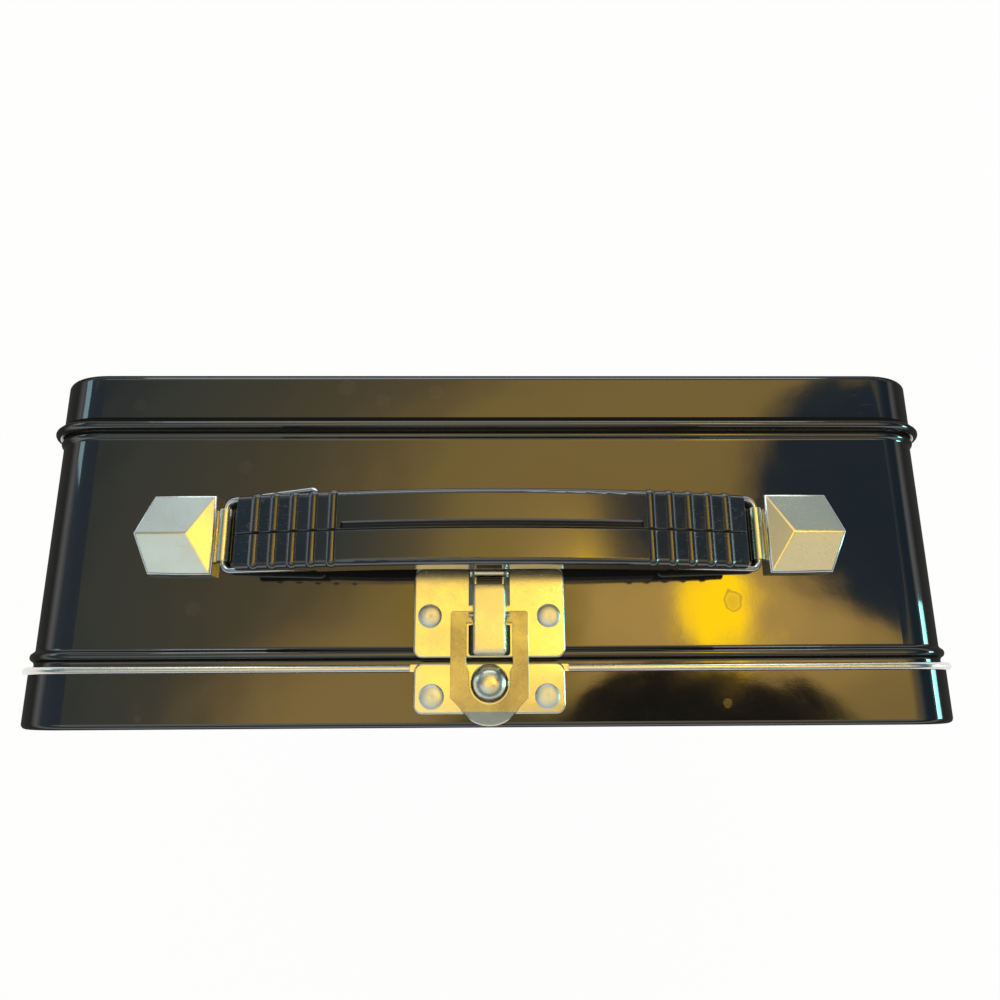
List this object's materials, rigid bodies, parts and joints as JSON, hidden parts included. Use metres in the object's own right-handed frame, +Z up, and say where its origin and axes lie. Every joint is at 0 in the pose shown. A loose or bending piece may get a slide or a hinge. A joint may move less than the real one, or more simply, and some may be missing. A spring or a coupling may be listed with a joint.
{
  "type": "lunch box",
  "caption": "Black tinplate box with a hinged front lid, a hasp latch on top and a drop handle that lifts on two wire links.",
  "frame": {"origin": "middle of the footprint, at the level the box stands on", "axes": "+Z up through the handle, +X along the width, +Y towards the back cover; the hinged lid faces -Y"},
  "size_m": [0.2184, 0.0838, 0.1877],
  "materials": {
    "enamel": "gloss black enamel on tinplate",
    "tin": "bare bright tin",
    "nickel": "satin nickel plate",
    "steel": "zinc-plated steel, satin",
    "grip": "black, semi-gloss"
  },
  "bodies": {
    "box": {"body_band": "enamel", "back_cover": "enamel", "latch_plate": "nickel", "latch_strap": "nickel", "latch_rivets": "nickel", "bracket_left": "nickel", "bracket_right": "nickel", "tab_left": "nickel", "tab_right": "nickel", "bracket_rivets": "nickel", "hinge_body_left": "steel", "hinge_body_right": "steel", "hinge_pin_left": "steel", "hinge_pin_right": "steel", "hinge_body_rivets": "steel"},
    "lid": {"front_lid": "enamel", "lid_curl": "tin", "keeper_plate": "nickel", "keeper_rivets": "nickel", "hinge_lid_left": "steel", "hinge_lid_right": "steel", "hinge_lid_rivets": "steel"},
    "hasp": {"hasp": "steel"},
    "grip": {"grip_front": "grip", "grip_back": "grip"},
    "link_left": {"link_left": "steel"},
    "link_right": {"link_right": "steel"}
  },
  "joints": [
    {"name": "lid_hinge", "type": "hinge", "parent": "box", "child": "lid", "pos_m": [0, -0.0284, 0.0009], "axis": [1, 0, 0], "range_deg": [0, 110]},
    {"name": "hasp_hinge", "type": "hinge", "parent": "box", "child": "hasp", "pos_m": [-0.0004, -0.0173, 0.1735], "axis": [-1, 0, 0], "range_deg": [0, 100]},
    {"name": "handle_lift", "type": "slide", "parent": "box", "child": "grip", "axis": [0, 0, 1], "range_m": [0, 0.0145]},
    {"name": "link_left_hinge", "type": "hinge", "parent": "box", "child": "link_left", "pos_m": [-0.06075, 0.00115, 0.17193], "axis": [0, -1, 0], "range_deg": [0, 50]},
    {"name": "link_right_hinge", "type": "hinge", "parent": "box", "child": "link_right", "pos_m": [0.06135, 0.00115, 0.17193], "axis": [0, 1, 0], "range_deg": [0, 50]}
  ],
  "couplings": [
    {"joint": "link_left_hinge", "follows": "handle_lift", "rad_per_m": 58.66},
    {"joint": "link_right_hinge", "follows": "handle_lift", "rad_per_m": 58.66}
  ]
}
